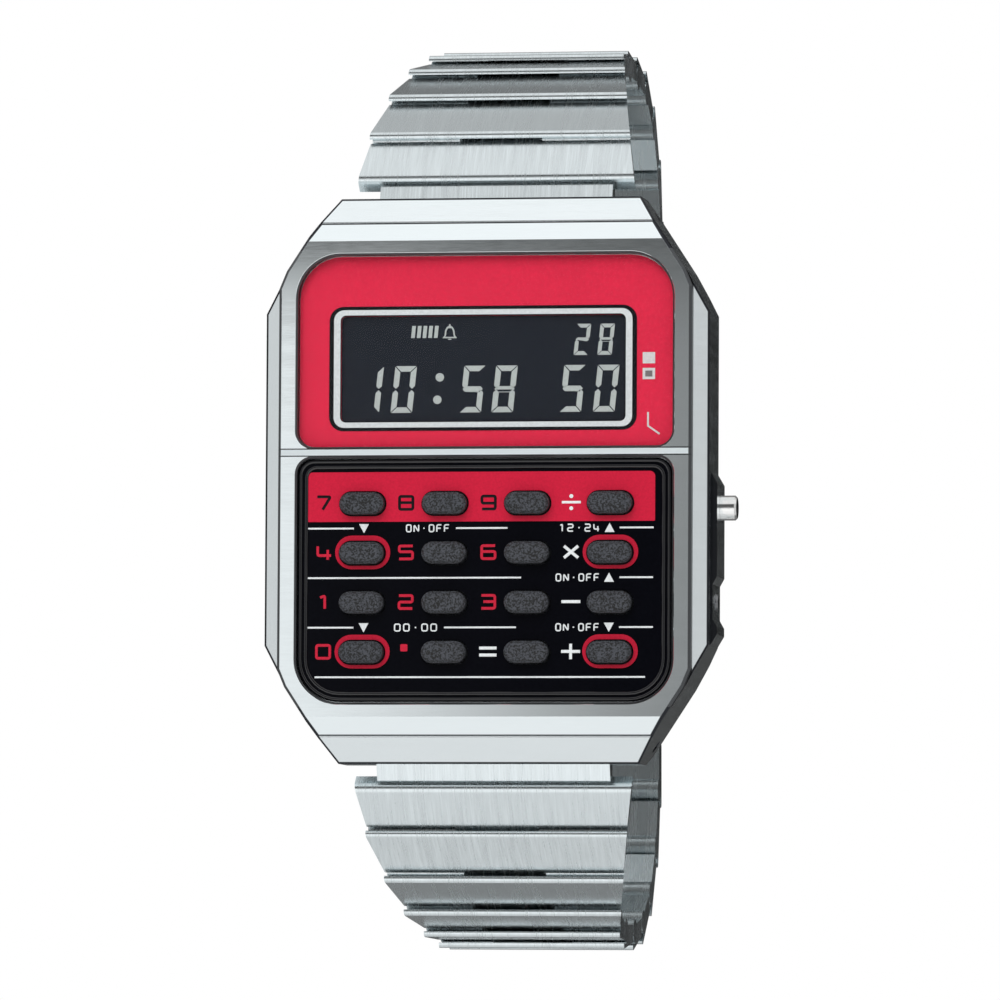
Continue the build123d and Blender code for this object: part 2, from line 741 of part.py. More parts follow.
slab_near = knuckle_radius + knuckle_gap
slab_far = link_pitch - knuckle_radius - side_gap
ear_inner = knuckle_half_width + knuckle_gap
for end, half in ((1, "upper"), (-1, "lower")):
    planes = link_planes(end)
    for number, plane in enumerate(planes[:-1], start=1):
        first = number == 1
        near = 0 if first else -lip_reach
        with BuildPart() as link:
            with BuildSketch(plane) as outline:
                with BuildLine():
                    top_near = knuckle_radius if first else link_near_top
                    nose = first_nose_radius if first else lip_nose_radius
                    under = link_inner if first else lip_under
                    Polyline(
                        (slab_near, link_inner),
                        (slab_far, link_inner),
                        (slab_far, knuckle_radius),
                        (near + nose, top_near),
                    )
                    RadiusArc((near + nose, top_near), (near, top_near - nose), -nose)
                    inner_run = [(near, top_near - nose), (near, under), (slab_near, link_inner)]
                    if not first:
                        inner_run.insert(2, (slab_near, under))
                    Polyline(*inner_run)
                make_face()
                if not first:
                    Circle(knuckle_radius)
                    with Locations((slab_near / 2, lip_under / 2)):
                        Rectangle(slab_near, lip_under)
                    with Locations((slab_near / 2, link_inner / 2)):
                        Rectangle(slab_near, -link_inner)
            extrude(amount=first_link_width, both=True)
            if not first:
                with BuildSketch(plane):
                    with Locations((0, (lip_under - slab_near) / 2)):
                        Rectangle(2 * slab_near, lip_under + slab_near)
                extrude(amount=ear_inner, both=True, mode=Mode.SUBTRACT)
                with BuildSketch(plane):
                    Circle(pin_radius)
                extrude(amount=ear_inner, both=True)
            with BuildSketch(Plane(origin=plane.origin, x_dir=plane.x_dir, z_dir=plane.y_dir)):
                reach = link_pitch + lip_reach
                wide = link_width(number, -lip_reach / link_pitch) / 2
                narrow = link_width(number, 1) / 2
                edge_points = [(-lip_reach, wide), (link_pitch, narrow)]
                Polygon(*edge_points, *[(s, -w) for s, w in reversed(edge_points)], align=None)
            extrude(amount=reach, both=True, mode=Mode.INTERSECT)
            with BuildSketch(plane):
                with Locations((link_pitch, 0)):
                    Circle(knuckle_radius)
                with Locations(((slab_far + link_pitch) / 2, (knuckle_radius + link_inner) / 2)):
                    Rectangle(link_pitch - slab_far, knuckle_radius - link_inner)
            extrude(amount=knuckle_half_width, both=True)
            if not (half == "lower" and number == len(link_angles)):
                with BuildSketch(plane):
                    with Locations((link_pitch, 0)):
                        Circle(pin_radius + running_gap)
                extrude(amount=knuckle_half_width, both=True, mode=Mode.SUBTRACT)
            if first:
                lug = plane.to_local_coords(Vector(0, -lug_axis_height, end * lug_axis_z))
                with BuildSketch(plane):
                    with Locations((lug.X, lug.Y)):
                        Circle(tab_barrel_radius)
                    Polygon(
                        (lug.X, lug.Y + tab_barrel_radius),
                        (nose, knuckle_radius - nose),
                        (slab_near, link_inner),
                        (lug.X, lug.Y - tab_barrel_radius),
                        align=None,
                    )
                extrude(amount=tab_half_width, both=True)
                with BuildSketch(plane):
                    with Locations((lug.X, lug.Y)):
                        Circle(spring_bar_radius + running_gap)
                extrude(amount=tab_half_width, both=True, mode=Mode.SUBTRACT)
        save(link.part, f"{half}_link_{number}")

# Clasp: hinge lines where the two halves of the strap end
upper_end = link_planes(1)[-1].origin
lower_end = link_planes(-1)[-1].origin

# Inner blade: hinged to the upper half, runs down inside the clasp
with BuildPart() as clasp_inner_blade:
    with BuildSketch(Plane.YZ):
        half_blade = blade_thickness / 2
        blade_line = [
            (inner_blade_y - half_blade, fold_axis_z + blade_knuckle_radius / 2),
            (inner_blade_y + half_blade, fold_axis_z + blade_knuckle_radius / 2),
            (inner_blade_y + half_blade, cover_axis_z + cover_swing),
            (upper_end.Y + knuckle_radius, upper_end.Z - knuckle_radius),
            (upper_end.Y + knuckle_radius, upper_end.Z),
            (upper_end.Y - knuckle_radius, upper_end.Z),
            (inner_blade_y - half_blade, cover_axis_z + cover_swing),
        ]
        Polygon(*blade_line, align=None)
        with Locations((upper_end.Y, upper_end.Z)):
            Circle(knuckle_radius)
    extrude(amount=blade_half_width, both=True)
    with BuildSketch(Plane.YZ):
        with Locations((upper_end.Y, upper_end.Z)):
            Circle(slab_near)
        with Locations((upper_end.Y, upper_end.Z + slab_near / 2)):
            Rectangle(2 * slab_near, slab_near)
    extrude(amount=ear_inner, both=True, mode=Mode.SUBTRACT)
    with BuildSketch(Plane.YZ):
        with Locations((inner_blade_y, fold_axis_z)):
            Circle(blade_knuckle_radius)
    extrude(amount=blade_half_width, both=True)
    with BuildSketch(Plane.YZ):
        with Locations((inner_blade_y, fold_axis_z)):
            Circle(pin_radius + running_gap)
    extrude(amount=blade_half_width, both=True, mode=Mode.SUBTRACT)
    with BuildSketch(Plane.YZ):
        with Locations((upper_end.Y, upper_end.Z)):
            Circle(pin_radius)
    extrude(amount=blade_half_width, both=True, mode=Mode.SUBTRACT)
with BuildPart() as clasp_top_pin:
    with BuildSketch(Plane.YZ):
        with Locations((upper_end.Y, upper_end.Z)):
            Circle(pin_radius)
    extrude(amount=blade_half_width, both=True)
save(group(clasp_inner_blade, clasp_top_pin), "clasp_inner_blade")

# Outer blade: hinged to the foot of the inner blade, with ears round its barrel, and to the cover
with BuildPart() as clasp_outer_blade:
    with BuildSketch(Plane.YZ):
        knee = fold_axis_z + 2 * blade_knuckle_radius + side_gap
        outer_line = [
            (outer_blade_y - half_blade, cover_axis_z),
            (outer_blade_y + half_blade, cover_axis_z),
            (outer_blade_y + half_blade, knee - blade_knuckle_radius),
            (inner_blade_y + blade_knuckle_radius, fold_axis_z),
            (inner_blade_y - blade_knuckle_radius, fold_axis_z),
            (outer_blade_y - half_blade, knee),
        ]
        Polygon(*outer_line, align=None)
        with Locations((inner_blade_y, fold_axis_z), (outer_blade_y, cover_axis_z)):
            Circle(blade_knuckle_radius)
    extrude(amount=outer_blade_half_width, both=True)
    with BuildSketch(Plane.YZ):
        with Locations((inner_blade_y, fold_axis_z)):
            Circle(blade_knuckle_radius + knuckle_gap)
        with Locations((inner_blade_y - overrun / 2 + half_blade + side_gap / 2, knee)):
            Rectangle(overrun, 2 * (knee - fold_axis_z))
    extrude(amount=blade_half_width + side_gap, both=True, mode=Mode.SUBTRACT)
    with BuildSketch(Plane.YZ):
        with Locations((inner_blade_y, fold_axis_z)):
            Circle(pin_radius)
        with Locations((outer_blade_y, cover_axis_z)):
            Circle(pin_radius + running_gap)
    extrude(amount=outer_blade_half_width, both=True, mode=Mode.SUBTRACT)
with BuildPart() as fold_pin:
    with BuildSketch(Plane.YZ):
        with Locations((inner_blade_y, fold_axis_z)):
            Circle(pin_radius)
    extrude(amount=outer_blade_half_width, both=True)
save(group(clasp_outer_blade, fold_pin), "clasp_outer_blade")

# Cover: folded channel over the blades, with ears beside the last link of the lower half
with BuildPart() as clasp_cover:
    cover_top = cover_axis_z - cover_top_drop
    cover_foot = lower_end.Z + slab_near + side_gap
    with BuildSketch(Plane.XY.offset(cover_foot)):
        with Locations((0, (cover_wall_foot_y + cover_inner_y + cover_thickness) / 2)):
            Rectangle(2 * cover_half_width, cover_inner_y + cover_thickness - cover_wall_foot_y)
    extrude(amount=cover_top - cover_foot)
    fillet(clasp_cover.faces().sort_by(Axis.Y)[-1].edges().filter_by(Axis.Z), cover_fillet)
    with BuildSketch(Plane.XY.offset(cover_foot - overrun)):
        with Locations((0, cover_inner_y - overrun / 2)):
            Rectangle(2 * (cover_half_width - cover_wall), overrun)
    extrude(amount=cover_top - cover_foot + 2 * overrun, mode=Mode.SUBTRACT)
    # Upper ears at the sides, which carry the cover's hinge pin
    with BuildSketch(Plane.YZ.offset(cover_half_width - cover_wall)):
        with Locations((outer_blade_y, cover_axis_z)):
            Circle(cover_ear_radius)
        with Locations((outer_blade_y, cover_top)):
            Rectangle(2 * cover_ear_radius, 2 * (cover_axis_z - cover_top))
    extrude(amount=cover_wall)
    mirror(about=Plane.YZ)
    # Lower ears, beside the barrel of the last link
    ear_outer = last_link_width / 2
    for side in (1, -1):
        with BuildSketch(Plane.YZ.offset(side * ear_inner)):
            with Locations((lower_end.Y, lower_end.Z)):
                Circle(knuckle_radius)
            ear_height = cover_foot + side_gap - lower_end.Z
            with Locations((cover_inner_y + cover_thickness / 2, lower_end.Z + ear_height / 2)):
                Rectangle(cover_thickness, ear_height)
        extrude(amount=side * (ear_outer - ear_inner))
    with BuildSketch(Plane.YZ):
        with Locations((outer_blade_y, cover_axis_z)):
            Circle(pin_radius)
        with Locations((lower_end.Y, lower_end.Z)):
            Circle(pin_radius + running_gap)
    extrude(amount=cover_half_width, both=True, mode=Mode.SUBTRACT)
with BuildPart() as cover_pin:
    with BuildSketch(Plane.YZ):
        with Locations((outer_blade_y, cover_axis_z)):
            Circle(pin_radius)
    extrude(amount=cover_half_width, both=True)
save(group(clasp_cover, cover_pin), "clasp_cover")
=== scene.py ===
import math

import bmesh
import bpy
from mathutils import Matrix, Vector


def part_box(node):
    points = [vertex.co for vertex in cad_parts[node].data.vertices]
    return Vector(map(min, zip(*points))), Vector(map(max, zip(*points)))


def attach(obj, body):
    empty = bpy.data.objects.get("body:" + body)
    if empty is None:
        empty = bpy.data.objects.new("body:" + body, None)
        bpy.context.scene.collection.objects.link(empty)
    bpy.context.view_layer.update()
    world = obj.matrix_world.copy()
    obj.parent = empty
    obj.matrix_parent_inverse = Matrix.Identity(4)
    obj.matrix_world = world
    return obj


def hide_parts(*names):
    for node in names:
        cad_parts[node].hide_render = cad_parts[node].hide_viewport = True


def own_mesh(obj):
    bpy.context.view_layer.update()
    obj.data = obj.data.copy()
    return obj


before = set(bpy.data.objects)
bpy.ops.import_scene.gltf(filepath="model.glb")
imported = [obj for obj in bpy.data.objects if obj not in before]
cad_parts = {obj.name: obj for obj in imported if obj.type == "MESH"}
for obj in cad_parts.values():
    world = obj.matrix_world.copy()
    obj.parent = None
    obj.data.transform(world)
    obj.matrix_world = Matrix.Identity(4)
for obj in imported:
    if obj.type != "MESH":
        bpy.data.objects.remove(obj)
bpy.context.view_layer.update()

# Case: the middle case is milled from stainless steel and brushed on its flats, with a fine break
# along its front edges, where a thin line of painted shade is laid. It carries the movement, the
# strap's spring bars and the pushers.
MM = 0.001
case_half_length, case_half_width = 21.6, 17.05
case_end_half, case_flank_half = 11.56, 12.66
shoulder = (15.3, 15.85)
case_corner = [
    (0, case_half_length), (case_end_half, case_half_length), shoulder,
    (case_half_width, case_flank_half), (case_half_width, 0),
]
case_shade_line_width = 0.15
case_grain_per_m = (900, 900, 14000)
# The tone of the painted shade laid along the outlines of the case and the bezel.
painted_edge_shade = (0.03, 0.032, 0.037, 1)
outline_sides = ("End", "Corner", "Shoulder", "Flank")


def feed(tree, node, inputs):
    """Gives each named input a fixed value, or links another node's socket to it."""
    for label, value in inputs.items():
        if isinstance(value, bpy.types.NodeSocket):
            tree.links.new(value, node.inputs[label])
        else:
            node.inputs[label].default_value = value


def add_node(tree, kind, inputs=None, **settings):
    """A node of a kind, with its settings and then its inputs."""
    node = tree.nodes.new(kind)
    for name, setting in settings.items():
        setattr(node, name, setting)
    feed(tree, node, inputs or {})
    return node


def worked_out(tree, operation, *values):
    """One arithmetic step between numbers or sockets."""
    inputs = dict(enumerate(values))
    return add_node(tree, "ShaderNodeMath", inputs, operation=operation).outputs[0]


def ranged(tree, value, low, high, start, end, kind="LINEAR"):
    """Maps a value from the range low to high on the range start to end."""
    inputs = {"Value": value, "From Min": low, "From Max": high, "To Min": start, "To Max": end}
    return add_node(tree, "ShaderNodeMapRange", inputs, interpolation_type=kind).outputs["Result"]


def mixed(tree, share, first, second, blend="MIX"):
    """Two colours joined by a share."""
    inputs = {"Factor": share, "A": first, "B": second}
    mix = add_node(tree, "ShaderNodeMix", inputs, data_type="RGBA", blend_type=blend)
    return mix.outputs["Result"]


def speckle(tree, place, per_m, detail=2):
    """Noise at a place, with so many grains to the metre."""
    inputs = {"Vector": place, "Scale": per_m, "Detail": detail}
    return add_node(tree, "ShaderNodeTexNoise", inputs).outputs["Fac"]


def object_place(tree):
    """The place on the part, from the object's own coordinates."""
    return add_node(tree, "ShaderNodeTexCoord").outputs["Object"]


def new_material(name):
    """A material with its node tree and its Principled shader."""
    material = bpy.data.materials.new(name)
    material.use_nodes = True
    tree = material.node_tree
    return material, tree, tree.nodes["Principled BSDF"]


def new_group(name, inputs, outputs):
    """A shader node group with sockets as (label, type, default)."""
    tree = bpy.data.node_groups.new(name, "ShaderNodeTree")
    for label, kind, value in inputs:
        socket = tree.interface.new_socket(label, in_out="INPUT", socket_type=kind)
        socket.default_value = value
    for label, kind in outputs:
        tree.interface.new_socket(label, in_out="OUTPUT", socket_type=kind)
    return tree, tree.nodes.new("NodeGroupInput").outputs, tree.nodes.new("NodeGroupOutput")


def grain_group():
    """Brushed metal: fine streaks and broader bands, stretched along one axis."""
    fine_share, band_share, band_scale = 0.6, 0.4, 0.13
    tone_low, tone_high = 0.35, 0.65
    tree, given, result = new_group(
        "Brushed grain",
        [
            ("Grain", "NodeSocketVector", (1000, 1000, 1000)),
            ("Light", "NodeSocketColor", (0.8, 0.8, 0.8, 1)),
            ("Dark", "NodeSocketColor", (0.6, 0.6, 0.6, 1)),
            ("Smooth", "NodeSocketFloat", 0.2),
            ("Rough", "NodeSocketFloat", 0.35),
        ],
        [
            ("Color", "NodeSocketColor"),
            ("Roughness", "NodeSocketFloat"),
            ("Height", "NodeSocketFloat"),
        ],
    )
    place = {0: object_place(tree), 1: given["Grain"]}
    stretched = add_node(tree, "ShaderNodeVectorMath", place, operation="MULTIPLY").outputs[0]
    bands = worked_out(tree, "MULTIPLY", speckle(tree, stretched, band_scale), band_share)
    streaks = worked_out(tree, "MULTIPLY_ADD", speckle(tree, stretched, 1, 3), fine_share, bands)
    tone = ranged(tree, streaks, tone_low, tone_high, 0, 1)
    outputs = {
        "Color": mixed(tree, tone, given["Dark"], given["Light"]),
        "Roughness": ranged(tree, tone, 0, 1, given["Rough"], given["Smooth"]),
        "Height": streaks,
    }
    feed(tree, result, outputs)
    return tree


def painted_outline_group():
    """Mask of a fine line of painted shade along a part's outline, on the faces that look to the
    front.
    """
    softness, facing_least = 0.00002, -0.3
    tree, given, result = new_group(
        "Outline",
        [(side, "NodeSocketVector", (0, 1, 0)) for side in outline_sides]
        + [("Width", "NodeSocketFloat", 0.0001)],
        [("Mask", "NodeSocketFloat")],
    )
    coordinates = add_node(tree, "ShaderNodeTexCoord").outputs
    quarter = add_node(
        tree, "ShaderNodeVectorMath", {0: coordinates["Object"]}, operation="ABSOLUTE"
    )
    parts = add_node(tree, "ShaderNodeSeparateXYZ", {0: quarter.outputs[0]}).outputs
    spot = add_node(tree, "ShaderNodeCombineXYZ", {"X": parts["X"], "Y": parts["Z"], "Z": -1})
    nearest = None
    for side in outline_sides:
        inputs = {0: spot.outputs["Vector"], 1: given[side]}
        dot = add_node(tree, "ShaderNodeVectorMath", inputs, operation="DOT_PRODUCT")
        past = dot.outputs["Value"]
        nearest = past if nearest is None else worked_out(tree, "MAXIMUM", nearest, past)
    reach = worked_out(tree, "ADD", nearest, given["Width"])
    line = ranged(tree, reach, -softness, softness, 0, 1)
    facing = add_node(tree, "ShaderNodeSeparateXYZ", {0: coordinates["Normal"]}).outputs["Y"]
    front = worked_out(tree, "LESS_THAN", facing, facing_least)
    feed(tree, result, {"Mask": worked_out(tree, "MULTIPLY", line, front)})
    return tree


brushed_grain = grain_group()
painted_outline = painted_outline_group()


def brushed_steel(name, tint, grain, smooth, rough, depth, contrast=0.8):
    """Steel brushed along one axis: grain is in cycles per metre along x, y and z."""
    material, tree, metal = new_material(name)
    tones = {"Light": (*tint, 1), "Dark": (*[c * contrast for c in tint], 1)}
    finish = {"Grain": grain, **tones, "Smooth": smooth, "Rough": rough}
    grained = add_node(tree, "ShaderNodeGroup", finish, node_tree=brushed_grain).outputs
    relief = {"Strength": 1, "Distance": depth, "Height": grained["Height"]}
    inputs = {
        "Base Color": grained["Color"],
        "Roughness": grained["Roughness"],
        "Normal": add_node(tree, "ShaderNodeBump", relief).outputs["Normal"],
        "Metallic": 1,
    }
    feed(tree, metal, inputs)
    return material


def source_of(material, label):
    """The socket that feeds an input of a material's shader."""
    return material.node_tree.nodes["Principled BSDF"].inputs[label].links[0].from_socket


def lay_painted_shade(material, share, tone):
    """Lays a tone of painted shade over a material's colour where a mask is one."""
    tree = material.node_tree
    colour = mixed(tree, share, source_of(material, "Base Color"), tone)
    feed(tree, tree.nodes["Principled BSDF"], {"Base Color": colour})


def paint_edge_shade(material, corners, width):
    """Paints a dark line of shade along the edge break round a part: corners are the upper right
    quarter in mm.
    """
    tree = material.node_tree
    inputs = {"Width": width * MM}
    for side, (x, z), (next_x, next_z) in zip(outline_sides, corners, corners[1:]):
        normal = Vector((z - next_z, next_x - x)).normalized()
        inputs[side] = (*normal, normal.dot(Vector((x, z))) * MM)
    line = add_node(tree, "ShaderNodeGroup", inputs, node_tree=painted_outline)
    lay_painted_shade(material, line.outputs["Mask"], painted_edge_shade)


def finish_nodes(material, *nodes):
    """Gives a material to CAD nodes, which keep their shape."""
    for node in nodes:
        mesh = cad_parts[node].data
        mesh.materials.clear()
        mesh.materials.append(material)


case_steel = brushed_steel(
    "case_steel", (0.86, 0.92, 0.94), case_grain_per_m, 0.16, 0.24, 0.2e-6, 0.97
)
# A thin dark line of painted shade runs along the case's front outline.
paint_edge_shade(case_steel, case_corner, case_shade_line_width)
finish_nodes(case_steel, "case_body")

# Movement: a black moulded frame holds a green board with its chip, cell and clip. It is put in
# from the back, and a brass sounder disc is glued to the case back.


def tone_ramp(tree, value, dark, full, spread):
    """Two tones either side of the middle of a pattern."""
    ramp = add_node(tree, "ShaderNodeValToRGB", {"Fac": value})
    low, high = ramp.color_ramp.elements
    low.position, low.color = 0.5 - spread, (*dark, 1)
    high.position, high.color = 0.5 + spread, (*full, 1)
    return ramp.outputs["Color"]


def moulded(name, tint, roughness, speckle_per_m, depth, contrast=0.7, spread=0.15):
    """Moulded plastic or rubber: a fine even speckle in tone and height."""
    material, tree, body = new_material(name)
    grains = speckle(tree, object_place(tree), speckle_per_m, 3)
    relief = add_node(tree, "ShaderNodeBump", {"Distance": depth, "Height": grains})
    inputs = {
        "Base Color": tone_ramp(tree, grains, [c * contrast for c in tint], tint, spread),
        "Normal": relief.outputs["Normal"],
        "Roughness": roughness,
    }
    feed(tree, body, inputs)
    return material


moulded_pieces = {
    "module_frame": ("frame_black", (0.03, 0.03, 0.032), 0.5, 4000, 5e-6),
    "circuit_board": ("board_green", (0.03, 0.16, 0.06), 0.35, 2500, 4e-6),
    "zebra_connectors": ("contact_rubber", (0.22, 0.21, 0.2), 0.7, 3000, 8e-6),
    "key_mat": ("mat_rubber", (0.05, 0.05, 0.055), 0.6, 5000, 6e-6),
    "case_back_gasket": ("gasket_rubber", (0.02, 0.02, 0.02), 0.5, 4000, 5e-6),
}
for node, finish in moulded_pieces.items():
    finish_nodes(moulded(*finish), node)
metal_pieces = {
    "battery": ("cell_steel", (0.75, 0.75, 0.74), (2500, 2500, 2500), 0.2, 0.35, 0.4e-6),
    "buzzer_disc": ("sounder_brass", (0.78, 0.56, 0.24), (3000, 3000, 3000), 0.25, 0.4, 0.4e-6),
}
for node, finish in metal_pieces.items():
    finish_nodes(brushed_steel(*finish), node)

# Bezel: a polished steel frame pressed on the case. Its two windows hold the display glass and
# the keypad panel. The windows' walls are painted dark as shade, and the bar left between them
# is satin, with a fine line of painted shade along each of its edges.
bezel_half_length, bezel_half_width = 19.65, 15.86
bezel_end_half, bezel_flank_half = 12.83, 14.5
bezel_corner = [
    (0, bezel_half_length), (bezel_end_half, bezel_half_length), shoulder,
    (bezel_half_width, bezel_flank_half), (bezel_half_width, 0),
]
bezel_shade_line_width = 0.22
window_margin = 0.4 * MM
wall_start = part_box("bezel")[0].y + 0.03 * MM
bar_edge = 0.27 * MM
bar_edge_half = 0.045 * MM
bar_face_half = 0.225 * MM
# Tones of the painted shade on the window walls and along the bar's edges.
wall_painted_shade, bar_edge_painted_shade = (0.09, 0.095, 0.1, 1), (0.06, 0.065, 0.07, 1)
wall_dull, bar_dull = 0.42, 0.62
window_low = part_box("keypad_panel")[0].z - window_margin
window_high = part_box("display_glass")[1].z + window_margin
bar_middle = (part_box("keypad_panel")[1].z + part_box("display_glass")[0].z) / 2
bezel_steel = brushed_steel(
    "bezel_steel", (0.87, 0.935, 0.955), (700, 700, 9000), 0.045, 0.075, 0.03e-6, 0.98
)
# The bezel's front outline gets the same thin line of painted shade.
paint_edge_shade(bezel_steel, bezel_corner, bezel_shade_line_width)
bezel_tree = bezel_steel.node_tree
bezel_place = add_node(bezel_tree, "ShaderNodeSeparateXYZ", {0: object_place(bezel_tree)}).outputs


def away_from(value, middle):
    """How far a value in the bezel's material is from a middle."""
    return worked_out(bezel_tree, "ABSOLUTE", worked_out(bezel_tree, "SUBTRACT", value, middle))


from_middle = away_from(bezel_place["Z"], (window_low + window_high) / 2)
in_windows = worked_out(bezel_tree, "LESS_THAN", from_middle, (window_high - window_low) / 2)
sunk = worked_out(bezel_tree, "GREATER_THAN", bezel_place["Y"], wall_start)
wall = worked_out(bezel_tree, "MULTIPLY", in_windows, sunk)
from_bar = away_from(bezel_place["Z"], bar_middle)
bar_edge_shade_mask = worked_out(bezel_tree, "LESS_THAN", away_from(from_bar, bar_edge), bar_edge_half)
bar_face = worked_out(bezel_tree, "LESS_THAN", from_bar, bar_face_half)
# Painted shade: dark tones laid into the steel's colour on the window walls and the bar's edges.
for share, tone in ((wall, wall_painted_shade), (bar_edge_shade_mask, bar_edge_painted_shade)):
    lay_painted_shade(bezel_steel, share, tone)
for share, dull in ((bar_face, bar_dull), (wall, wall_dull)):
    satin = ranged(bezel_tree, share, 0, 1, source_of(bezel_steel, "Roughness"), dull)
    feed(bezel_tree, bezel_tree.nodes["Principled BSDF"], {"Roughness": satin})
finish_nodes(bezel_steel, "bezel")

# Display: a negative liquid crystal cell under a red printed mask. The mask has a black
# surround and a bright line round the opening, and flat glass lies on it.
ink = 0.02
gap = 0.03
matt = 0.2
merge_reach = 1e-7
mask_round, mask_round_at_bar = 3.25, 1.15
lcd_x = -0.25
surround = (23.66, 9.5, 1.1)
line_outer = (22.95, 8.98, 0.8)
line_inner = (21.95, 8.18, 0.45)
view = (21.8, 8.0, 0.35)


def face_of(node):
    """Middle x, middle z, width and height of a CAD node's front, in millimetres."""
    low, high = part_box(node)
    middle = (low.x + high.x) / 2 / MM, (low.z + high.z) / 2 / MM
    return *middle, (high.x - low.x) / MM, (high.z - low.z) / MM


glass_low = -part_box("display_glass")[1].y / MM
cell_top = -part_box("lcd_panel")[0].y / MM
mask_low = -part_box("display_mask")[1].y / MM
lcd_z = face_of("lcd_panel")[1]


def rounded_rectangle(x, z, width, height, radius, low_radius=None, steps=8):
    """Points of a rectangle with round corners, in millimetres, counter-clockwise."""
    low = radius if low_radius is None else low_radius
    points = []
    quarters = ((1, 1, radius, 0), (-1, 1, radius, 90), (-1, -1, low, 180), (1, -1, low, 270))
    for side_x, side_z, rounding, start in quarters:
        centre_x = x + side_x * (width / 2 - rounding)
        centre_z = z + side_z * (height / 2 - rounding)
        for step in range(steps + 1):
            angle = math.radians(start + 90 * step / steps)
            across, up = rounding * math.cos(angle), rounding * math.sin(angle)
            points.append((centre_x + across, centre_z + up))
    return points


def close_mesh(mesh):
    """Merges a mesh's doubles and turns its faces outwards."""
    shape = bmesh.new()
    shape.from_mesh(mesh)
    bmesh.ops.remove_doubles(shape, verts=shape.verts, dist=merge_reach)
    bmesh.ops.recalc_face_normals(shape, faces=shape.faces)
    shape.to_mesh(mesh)
    shape.free()


def case_piece(name, mesh):
    """A finished mesh as a piece that rides on the case."""
    close_mesh(mesh)
    mesh.name = name
    piece = bpy.data.objects.new(name, mesh)
    bpy.context.scene.collection.objects.link(piece)
    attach(piece, "case")
    return piece


def flat_curve(name, lines, dimensions):
    """A scene object that draws lines, each as (points, closed) in millimetres."""
    curve = bpy.data.curves.new(name, "CURVE")
    curve.dimensions = dimensions
    for points, closed in lines:
        spline = curve.splines.new("POLY")
        spline.points.add(len(points) - 1)
        for point, (x, z) in zip(spline.points, points):
            point.co = (x * MM, z * MM, 0, 1)
        spline.use_cyclic_u = closed
    drawn = bpy.data.objects.new(name + "_lines", curve)
    bpy.context.scene.collection.objects.link(drawn)
    return drawn


def front_mesh(drawn, height):
    """Makes a drawn object a mesh that faces the front at a height above the case back."""
    bpy.context.view_layer.update()
    evaluated = drawn.evaluated_get(bpy.context.evaluated_depsgraph_get())
    mesh = bpy.data.meshes.new_from_object(evaluated)
    curve = drawn.data
    bpy.data.objects.remove(drawn)
    bpy.data.curves.remove(curve)
    for vertex in mesh.vertices:
        x, z, out = vertex.co
        vertex.co = (x, -height * MM - out, z)
    return mesh


def plate(name, loops, low, high, material):
    """A flat printed plate between two heights: the loops after the first are holes."""
    drawn = flat_curve(name, [(loop, True) for loop in loops], "2D")
    drawn.data.fill_mode = "BOTH"
    drawn.data.extrude = (high - low) / 2 * MM
    mesh = front_mesh(drawn, (low + high) / 2)
    mesh.materials.clear()
    mesh.materials.append(material)
    return case_piece(name, mesh)


def print_ink(name, tint, roughness, sheen=0.5, flake_per_m=6000, contrast=0.85, spread=0.2):
    """Printed ink with a faint flake in its tone."""
    material, tree, printed_layer = new_material(name)
    flake = speckle(tree, object_place(tree), flake_per_m)
    colour = tone_ramp(tree, flake, [c * contrast for c in tint], tint, spread)
    inputs = {"Base Color": colour, "Roughness": roughness, "Specular IOR Level": sheen}
    feed(tree, printed_layer, inputs)
    return material


red_ink = print_ink("red_ink", (0.76, 0.021, 0.0645), 0.4, matt)
black_ink = print_ink("black_ink", (0.003, 0.003, 0.005), 0.3, matt)
line_ink = print_ink("bright_line_ink", (0.7, 0.74, 0.75), 0.3)
under_glass = glass_low - gap
mask_outline = rounded_rectangle(*face_of("display_mask"), mask_round, mask_round_at_bar)
opening = rounded_rectangle(lcd_x, lcd_z, *view)
mask = plate(
    "display_mask_print", [mask_outline, opening], mask_low, under_glass - ink, red_ink
)
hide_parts("display_mask")
black_frame = [rounded_rectangle(lcd_x, lcd_z, *surround), opening]
plate("display_surround", black_frame, under_glass - ink, under_glass, black_ink)
bright_line = [rounded_rectangle(lcd_x, lcd_z, *size) for size in (line_outer, line_inner)]
line_top = glass_low - gap / 2
plate("display_bright_line", bright_line, under_glass, line_top, line_ink)

# Marks of the two pushers, printed on the mask beside the display: a full square for the upper
# one, a framed square for the lower one, and a line that leads to it.
mark_ink = print_ink("mark_ink", (0.7, 0.68, 0.68), 0.45)
mark_grey = print_ink("mark_grey", (0.2, 0.18, 0.18), 0.45)
marks_x, upper_mark_rise, lower_mark_drop = 12.49, 0.7, 0.5
mark, mark_middle = (0.95, 0.86, 0.04), (0.55, 0.46, 0.02)
pointer = [(12.37, 4.98), (12.51, 4.98), (12.51, 3.97), (13.37, 3.37), (13.29, 3.26), (12.37, 3.9)]
framed = rounded_rectangle(marks_x, lcd_z - lower_mark_drop, *mark_middle)
marks = [
    rounded_rectangle(marks_x, lcd_z + upper_mark_rise, *mark),
    rounded_rectangle(marks_x, lcd_z - lower_mark_drop, *mark),
    framed,
    pointer,
]
plate("mask_marks", marks, under_glass - ink, under_glass, mark_ink)
grey_top = under_glass - ink / 2
plate("mask_mark_middle", [framed], under_glass - ink, grey_top, mark_grey)

# The display's cell and its segments: slanted bars, grouped in digits, as the cell shows them.
# They lie on the glass of the cell, as a thin layer of the paler tone.
cell_dark = print_ink("display_dark", (0.0094, 0.0128, 0.02), 0.4, matt)
cell_segment = print_ink("display_segment", (0.47, 0.515, 0.5), 0.4)
finish_nodes(cell_dark, "lcd_panel")
slant = 0.105
cut_share = 0.12


